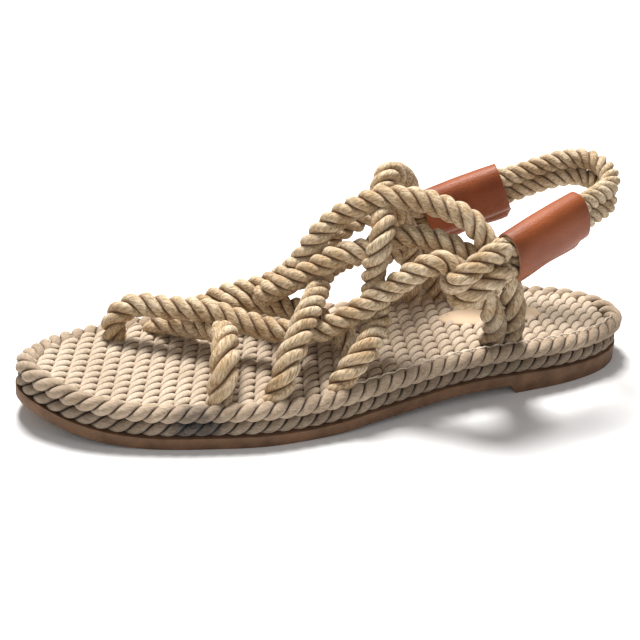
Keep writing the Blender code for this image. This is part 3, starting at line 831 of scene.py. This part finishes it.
# Where on the master cord the sole's centre line lies, in metres
phase = 0.075
while along < LENGTH + 20.0:
    span = row_span(along, MAT_INSET)
    if span:
        slant = row_slant(along)
        stretch_by = math.sqrt(1.0 + slant * slant)
        master = slack if along < SLACK_TO else tight_one
        row = master.copy()
        row.data = master.data.copy()
        row.name = "mat_row_%02d" % number
        bpy.context.scene.collection.objects.link(row)
        take(row)
        bpy.ops.object.mode_set(mode="EDIT")
        cut((phase + span[0] * stretch_by * MM, 0.0, 0.0), (1.0, 0.0, 0.0), inner=True)
        cut((phase + span[1] * stretch_by * MM, 0.0, 0.0), (1.0, 0.0, 0.0), inner=False)
        bpy.ops.object.mode_set(mode="OBJECT")
        direction = Vector((slant, 1.0, 0.0)).normalized()
        side = Vector((0.0, 0.0, 1.0)).cross(direction)
        for vertex in row.data.vertices:
            c = vertex.co.copy()
            p = Vector((along * MM, 0.0, 0.0)) + direction * (c.x - phase) + side * c.y
            bed = (underside(p.x / MM) + MAT_TOP - MAT_SINK) * MM
            vertex.co = Vector((p.x - TOE_TO_ORIGIN * MM, p.y, bed + c.z))
        rows.append(row)
    number += 1
    back = back_share(along)
    along += ROW_GAP - 0.3 * back
    # The next row is cut a little earlier in the twist, so its plies don't line up.
    phase -= 0.00075 - 0.00033 * back
for master in (slack, tight_one):
    spent = master.data
    bpy.data.objects.remove(master)
    bpy.data.meshes.remove(spent)
let_go()
for row in rows:
    row.select_set(True)
bpy.context.view_layer.objects.active = rows[0]
bpy.ops.object.join()
mat = bpy.context.object
mat.name = "mat_rows"
close_up(mat)
finish_piece(mat, MAT_PAINT, "footbed_mat")
print("mat rows", len(rows), "triangles", sum(len(p.vertices) - 2 for p in mat.data.polygons))

# %% [markdown]
# ## Straps of rope
# Each strap is one length of three-strand rope. Most come up out of the sole at one
# side, cross the foot, and go down again or into a leather sleeve. The hidden end of an
# instep rope lies under its neighbours. A rope is laid straight, its strands are opened
# where it is bent hard or enters the sole, and then it is bent along its route. Where
# ropes cross they press into each other, as soft rope does, and the outer knot hides the
# ends of its leads.

# %% Routes of the ropes
FRONT_ROPE = [
    (44, 25, -6), (43, 25, 2), (43, 25, 8), (46, 24, 12), (52, 22, 15), (63, 15, 16), (76, 7, 17),
    (87, 0, 15), (95, -6, 14), (101, -10, 14), (108, -13, 14), (117, -16, 16), (126, -19, 22),
    (136, -21, 29), (146, -25, 38), (155, -28, 43), (162, -30, 40), (168.5, -31.5, 34), (174, -32, 27),
    (179, -30, 19.5), (183, -26, 12), (185, -21.5, 5), (185.5, -20, -6),
]
TOE_LOOP = [
    (69, -33, -6), (69, -33, 2), (71, -31, 9), (73.5, -24, 13.5), (76, -16, 15), (78.5, -8, 14),
    (79, 0, 11.5), (76.5, 8, 9), (72, 14, 7), (66, 21, 5.5), (61.5, 26.5, 3), (60, 28.5, -1), (60, 28.5, -6),
]
SECOND_ROPE = [
    (89, -35, -6), (91, -35, 2), (94, -34, 9), (97, -30, 14), (101, -26, 18), (105, -20, 21),
    (110, -13, 24), (115, -6, 25), (119, 2, 25), (125, 10, 27), (134, 18, 26), (144, 24, 24),
    (154, 28, 21), (164, 31, 19), (172, 32, 17), (178, 30, 11), (180, 26, 3), (180, 23, -6),
]
THIRD_ROPE = [
    (115, -34, -6), (117, -34, 2), (121, -34, 8), (126, -32, 12), (131, -27, 14), (136, -21, 15),
    (138, -15, 19), (136, -13, 26), (135, -14, 37), (136, -15, 46), (139, -10, 53), (143, 1, 54),
    (145, 9, 58), (150, 15, 62), (157, 20, 59), (163, 26, 52), (167.5, 30.5, 44), (172, 32.5, 39),
    (178, 31.5, 39.5), (184, 30, 42),
]
TOP_ROPE = [
    (76, 35, -6), (78, 35, 2), (83, 33, 7), (92, 28, 13), (103, 22, 18), (110, 18, 23),
    (115, 14, 30), (118, 12, 37), (121, 10, 43), (126, 8, 49), (131, 5, 54), (137, 0, 59),
    (144, -4, 61), (154, -10, 61), (163, -18, 59), (169, -24, 56), (174, -28, 49), (180, -29, 40),
    (186, -29, 29), (190, -27, 18), (193, -22, 8), (194, -19.5, 0), (194, -19.5, -6),
]
INSTEP_ROPE = [
    (102, 19, 15), (103, 13, 20), (109, 7, 26), (117, 3, 32), (126, -2, 39), (135, -5, 41),
    (144, -8, 46), (154, -13, 47), (162, -21, 46), (169, -27, 42), (176, -29, 36), (181, -29, 30),
]
LOW_ROPE = [
    (80, 30, -6), (81, 30, 1), (86, 28, 7), (93, 24, 11), (101, 19, 12), (109, 13, 12),
    (115, 6, 12), (120, -1, 11), (125, -8, 9), (128, -13, 3), (128, -14, -6),
]
SHADED_ROPE = [
    (97, 33.5, -6), (98, 33.5, 2), (102, 32, 9), (108, 27, 15), (114, 23, 22), (119, 20, 29),
    (126, 18, 35), (135, 19, 40), (146, 22, 42), (157, 26, 40), (165, 30, 33), (169, 30, 22),
    (169, 27, 10), (169, 24, 0), (169, 23, -6),
]
INNER_POST = [(180, 28, -6), (179, 29, 6), (180, 32, 14), (179, 34, 24), (175, 34, 34)]
# Where the two leads of the outer sleeve run once they are out of its mouth
UPPER_BIGHT = [
    (177, -34.5, 48), (170, -37, 46), (164, -37.5, 42.3), (160.5, -35.5, 38), (160.5, -30, 34.5),
    (163, -25, 32.5),
]
LOWER_BIGHT = [
    (177, -36, 38.3), (170.5, -37.5, 35.2), (165.5, -36.5, 31.5), (163.5, -32, 28.3), (166, -26, 27),
]
# A sleeve is given by the middle of its two ends.
OUTER_SLEEVE = [(183, -31, 43), (217, -20, 54)]
INNER_SLEEVE = [(171, 33, 32), (206, 25, 48)]


def route(table):
    return [place(*row) for row in table]


def sleeve_frame(table):
    # Its front and rear end, the direction along it, and the direction up across it.
    ends = route(table)
    axis = (ends[1] - ends[0]).normalized()
    up = Vector((0.0, 0.0, 1.0))
    up = (up - axis * up.dot(axis)).normalized()
    return ends[0], ends[1], axis, up


# A rope that goes into the sole ends this many mm below the top of the mat, out of sight.
FOOT_DEPTH = 2.2


def foot_up(points):
    found = [point.copy() for point in points]
    for end in (0, -1):
        along = found[end].x / MM + TOE_TO_ORIGIN
        lowest = at(along, 0.0, MAT_TOP - FOOT_DEPTH).z
        if found[end].z < lowest:
            found[end].z = lowest
    return found


def rope(name, points, radius=0.0049, lay=0.0186, seed=0.0, uneven=0.06, turn_steps=26, facets=14,
         start=0.0, paint=ROPE_PAINT, node="upper_ropes", zones=(), spread=0.28):
    # A zone is a place along the rope in metres, from its end where negative, then its
    # reach and how far the strands have opened there. Spread tells how much wider it gets.
    line, length = even_steps(foot_up(points), GUIDE_STEP)
    tight, table = tight_length(length, zones)
    piece = lay_cord(name, tight, radius, radius, lay, turn_steps=turn_steps, facets=facets, start=start)
    loosen(piece, length, zones, table, spread)
    soften(piece, seed, uneven)
    remember_lay(piece)
    bend(piece, line)
    return finish_piece(piece, paint, node)


in_front, in_rear, in_axis, in_up = sleeve_frame(INNER_SLEEVE)
out_front, out_rear, out_axis, out_up = sleeve_frame(OUTER_SLEEVE)
# How deep a lead is tucked into its sleeve, and how far it lies above or below the axis
TUCK = 0.013
LEAD_LIFT = 0.0043


def outer_lead(side_of, bight):
    # From inside the outer sleeve, out of its mouth, and round into the knot.
    return [out_front + out_axis * TUCK + out_up * side_of * LEAD_LIFT,
            out_front - out_axis * 0.003 + out_up * side_of * 0.0045] + route(bight)


rope("front_rope", route(FRONT_ROPE), seed=1.0, zones=[(-0.020, 0.034, 0.60)], spread=0.06)
rope("toe_loop", route(TOE_LOOP), seed=2.0, lay=0.0195, uneven=0.09, zones=[(0.018, 0.030, 0.45)])
rope("second_rope", route(SECOND_ROPE), seed=3.0, lay=0.0180, uneven=0.08, zones=[(0.018, 0.030, 0.22)])
rope("third_rope", route(THIRD_ROPE), seed=4.0, lay=0.0170, uneven=0.08, zones=[(0.018, 0.030, 0.15)])
rope("top_rope", route(TOP_ROPE), seed=5.0, zones=[(-0.018, 0.032, 0.65)], spread=0.05)
rope("instep_rope", route(INSTEP_ROPE), seed=6.0)
rope("low_rope", route(LOW_ROPE), seed=7.0)
rope("shaded_rope", route(SHADED_ROPE), seed=8.0)
rope("inner_post", route(INNER_POST), seed=9.0)
rope("outer_lead_top", outer_lead(1.0, UPPER_BIGHT), radius=0.0047, lay=0.0175, seed=10.0)
rope("outer_lead_low", outer_lead(-1.0, LOWER_BIGHT), radius=0.0047, lay=0.0190, seed=10.5)
for side_of, label in ((1.0, "inner_lead_top"), (-1.0, "inner_lead_low")):
    lift = in_up * side_of * LEAD_LIFT
    rope(label, [in_front - in_axis * 0.0039 + lift, in_front + lift, in_front + in_axis * TUCK + lift],
         radius=0.0045, seed=11.0 + side_of)

# %% [markdown]
# ## Heel sling
# A thinner rope goes round the heel twice, one turn above the other, and both ends of
# each turn are tucked into the leather sleeves. Each turn is laid on its own and bent
# along the same route, a little higher or lower.

# %% Heel sling
SLING = [
    (213, 23.5, 50.5), (222, 20.8, 55), (230.5, 17, 58.5), (236.5, 11.5, 59.8), (239, 4, 59.5),
    (238.5, -3.5, 58), (234.5, -10, 56.5), (226.5, -15, 55.5),
]
# How far each turn lies above or below the middle, and how its ends enter the sleeves
SLING_LIFT = 0.0039
SLING_TUCK = 0.014
SLING_MOUTH = 0.003
for side_of, label in ((1.0, "sling_upper"), (-1.0, "sling_lower")):
    lift = side_of * SLING_LIFT
    line = [in_rear - in_axis * SLING_TUCK + in_up * lift, in_rear - in_axis * SLING_MOUTH + in_up * lift]
    line += [place(*row) + Vector((0.0, 0.0, lift)) for row in SLING]
    line += [out_rear - out_axis * SLING_MOUTH + out_up * lift,
             out_rear - out_axis * SLING_TUCK + out_up * lift]
    rope(label, line, radius=0.0042, lay=0.0145, seed=20.0 + side_of, facets=12, turn_steps=24,
         start=0.5 * side_of, paint=SLING_PAINT, node="heel_sling")

# %% [markdown]
# ## Leather sleeves
# Each sleeve is one piece of leather folded round the two ropes and glued to itself
# underneath, where the two edges stand out as a thin fin. A ring in the sleeve's section
# is drawn along its length, swollen and dented a little, and given the thickness of the
# leather, so the cut ends show real edges.

# %% Leather sleeves
SLEEVE_FACETS = 48
SLEEVE_STEPS = 14
SLEEVE_HALF_WIDE = 0.0056
SLEEVE_HALF_TALL = 0.0095
# Under 1, this power squares the oval section a little.
SLEEVE_POWER = 0.85
# The fin's depth, and for its lowest point and the two points on either side of that:
# the half width, and the share of the depth
FIN = 0.0034
FIN_HALF_WIDTHS = (0.0, 0.0004, 0.0010)
FIN_SHARES = (1.0, 0.62, 0.12)
# Depth below the axis at which the fin begins, and at which it is pressed flat
FIN_TOP = 0.0093
FIN_HINGE = 0.0094


def leather_sleeve(name, node, table, trim=0.0):
    head, tail, along_axis, upward = sleeve_frame(table)
    head = head + along_axis * trim
    length = (tail - head).length
    across_axis = along_axis.cross(upward)
    let_go()
    bpy.ops.mesh.primitive_circle_add(vertices=SLEEVE_FACETS, radius=1.0, rotation=(0.0, math.pi / 2, 0.0))
    piece = bpy.context.object
    piece.name = name
    bpy.ops.object.transform_apply(location=True, rotation=True, scale=True)
    for vertex in piece.data.vertices:
        angle = math.atan2(vertex.co.z, vertex.co.y)
        c, s = math.cos(angle), math.sin(angle)
        y = math.copysign(abs(c) ** SLEEVE_POWER, c) * SLEEVE_HALF_WIDE
        z = math.copysign(abs(s) ** SLEEVE_POWER, s) * SLEEVE_HALF_TALL
        steps_off = round(abs(angle + math.pi / 2) / (2 * math.pi / SLEEVE_FACETS))
        if steps_off < len(FIN_SHARES):
            y = math.copysign(FIN_HALF_WIDTHS[steps_off], c)
            z = -FIN_TOP - FIN * FIN_SHARES[steps_off]
        vertex.co = Vector((0.0, y, z))
    bpy.ops.object.mode_set(mode="EDIT")
    bpy.ops.mesh.select_all(action="SELECT")
    for _ in range(SLEEVE_STEPS):
        bpy.ops.mesh.extrude_region_move(
            TRANSFORM_OT_translate={"value": (length / SLEEVE_STEPS, 0.0, 0.0)})
    bpy.ops.mesh.select_all(action="SELECT")
    bpy.ops.mesh.normals_make_consistent(inside=False)
    bpy.ops.object.mode_set(mode="OBJECT")
    for vertex in piece.data.vertices:
        c = vertex.co
        t = c.x / length
        # A little fuller in the middle, and dented by a slow noise
        full = 0.97 + 0.045 * math.sin(math.pi * t)
        c.y *= full * (1.0 + 0.05 * noise.noise(Vector((c.x * 90, c.z * 120, 3.0))))
        if c.z < -SLEEVE_HALF_TALL:
            # The fin is cut back at the rear end, and its own edge waves a little.
            kept_share = 0.25 if t > 0.94 else 1.0 + 0.12 * math.sin(t * 9.0)
            c.z = -FIN_HINGE + (c.z + FIN_HINGE) * kept_share
        else:
            c.z *= full
    wall = piece.modifiers.new("wall", "SOLIDIFY")
    wall.thickness = 0.0011
    wall.offset = 1.0
    take(piece)
    bpy.ops.object.modifier_apply(modifier="wall")
    edge = piece.modifiers.new("edge", "BEVEL")
    edge.width = 0.00025
    edge.segments = 2
    edge.angle_limit = math.radians(55)
    bpy.ops.object.modifier_apply(modifier="edge")
    piece.data.transform(Matrix((
        (along_axis.x, across_axis.x, upward.x, head.x),
        (along_axis.y, across_axis.y, upward.y, head.y),
        (along_axis.z, across_axis.z, upward.z, head.z),
        (0.0, 0.0, 0.0, 1.0),
    )))
    # Those axes mirror the tube, so its faces are turned outwards again.
    piece.data.flip_normals()
    finish_piece(piece, LEATHER_PAINT, node)
    piece.data.materials.append(EDGE_PAINT)
    for face in piece.data.polygons:
        if abs(face.normal.dot(along_axis)) > 0.75:
            face.material_index = 1
    return piece


leather_sleeve("outer_leather", "outer_sleeve", OUTER_SLEEVE)
# The inner one starts 5 mm behind the front of its solid, where it shows past the ropes.
leather_sleeve("inner_leather", "inner_sleeve", INNER_SLEEVE, trim=0.005)

# %% [markdown]
# ## The bare oval on the heel
# A smooth oval lies pressed into the mat under the heel. The crests of the cord come
# through along its edge and make it ragged. It is a disc, inset ring by ring, flat in the
# middle and turned down at the edge.

# %% Bare oval
# Its middle, half axes, height over the mat, drop at the edge, in mm; the edge's share
PAD_ALONG = 196.0
PAD_ACROSS = 3.0
PAD_HALF_LONG = 25.0
PAD_HALF_WIDE = 8.5
PAD_RISE = 0.85
PAD_DROP = 1.1
PAD_EDGE = 0.22
let_go()
bpy.ops.mesh.primitive_circle_add(vertices=64, radius=1.0, fill_type="NGON")
pad = bpy.context.object
pad.name = "heel_oval"
take(pad)
bpy.ops.object.mode_set(mode="EDIT")
bpy.ops.mesh.select_all(action="SELECT")
for _ in range(6):
    bpy.ops.mesh.inset(thickness=0.14)
bpy.ops.object.mode_set(mode="OBJECT")
for vertex in pad.data.vertices:
    x, y = vertex.co.x, vertex.co.y
    away = min(1.0, math.hypot(x, y))
    drop = PAD_DROP * max(0.0, away - (1.0 - PAD_EDGE)) / PAD_EDGE
    vertex.co = place(PAD_ALONG + x * PAD_HALF_LONG, PAD_ACROSS + y * PAD_HALF_WIDE, PAD_RISE - drop)
close_up(pad)
finish_piece(pad, PAD_PAINT)

# %% [markdown]
# ## The lip and the stray threads
# Behind the ball of the foot a thin pale line follows the crest of the
# upper cord in small waves. A few cut threads stand up at the heel and hang under a
# sleeve. Each is a guide curve given a thin round section.

# %% Lip and threads
LIP_PAINT = grained_paint("lip_finish", pale=(0.78, 0.68, 0.56), dark=(0.60, 0.50, 0.40),
                          scale=400.0, fine_scale=2000.0, roughness=0.7, bump=0.2, distance=0.0002)
THREAD_PAINT = grained_paint("thread_finish", pale=(0.26, 0.20, 0.15), dark=(0.12, 0.09, 0.07),
                             scale=400.0, fine_scale=2000.0, roughness=0.8, bump=0.2, distance=0.0002)
# Start, step, wave length, inset and height over the underside, all in mm
LIP_FROM = 117.0
LIP_STEP = 0.395
LIP_WAVE = 6.3
LIP_INSET = 4.9
LIP_HEIGHT = 16.1
# Foot of each heel thread, along and across, then how far its tip lies from the foot
STRAY = [(244.5, 9.5, (1.2, 0.72, 1.76)), (248.0, 5.0, (1.44, 0.36, 2.08)), (250.0, 0.5, (1.32, 0.96, 1.28))]


def thread(name, points, radius, paint):
    line, _ = even_steps(points, 0.0006)
    obj = guide(line, False, "MINIMUM")
    obj.name = name
    obj.data.bevel_depth = radius
    obj.data.bevel_resolution = 2
    obj.data.use_fill_caps = True
    take(obj)
    bpy.ops.object.convert(target="MESH")
    close_up(bpy.context.object)
    return finish_piece(bpy.context.object, paint)


lip = []
for i in range(330):
    along = LIP_FROM + i * LIP_STEP
    wave = abs(math.sin(math.pi * along / LIP_WAVE))
    ragged = noise.noise(Vector((along * 0.35, 0.0, 5.0)))
    lip.append(at(along, -half_width(along, 1) + LIP_INSET + 0.35 * ragged,
                  LIP_HEIGHT + 0.9 * wave + 0.3 * ragged))
thread("rim_lip", lip, 0.00030, LIP_PAINT)
for number, (along, across, tip) in enumerate(STRAY):
    low = place(along, across, -0.6)
    high = place(along + tip[0], across + tip[1], tip[2] - 0.6)
    middle = (low + high) * 0.5 + Vector((0.0, 0.0, 0.0005))
    thread("stray_thread_%d" % number, [low, middle, high], 0.00016, THREAD_PAINT)
under = out_front.lerp(out_rear, 0.86) - out_up * 0.0118
hanging = [under, under + Vector((0.0012, 0.0, -0.0009)), under + Vector((0.0022, -0.0006, -0.0022))]
thread("stray_thread_3", hanging, 0.00014, THREAD_PAINT)
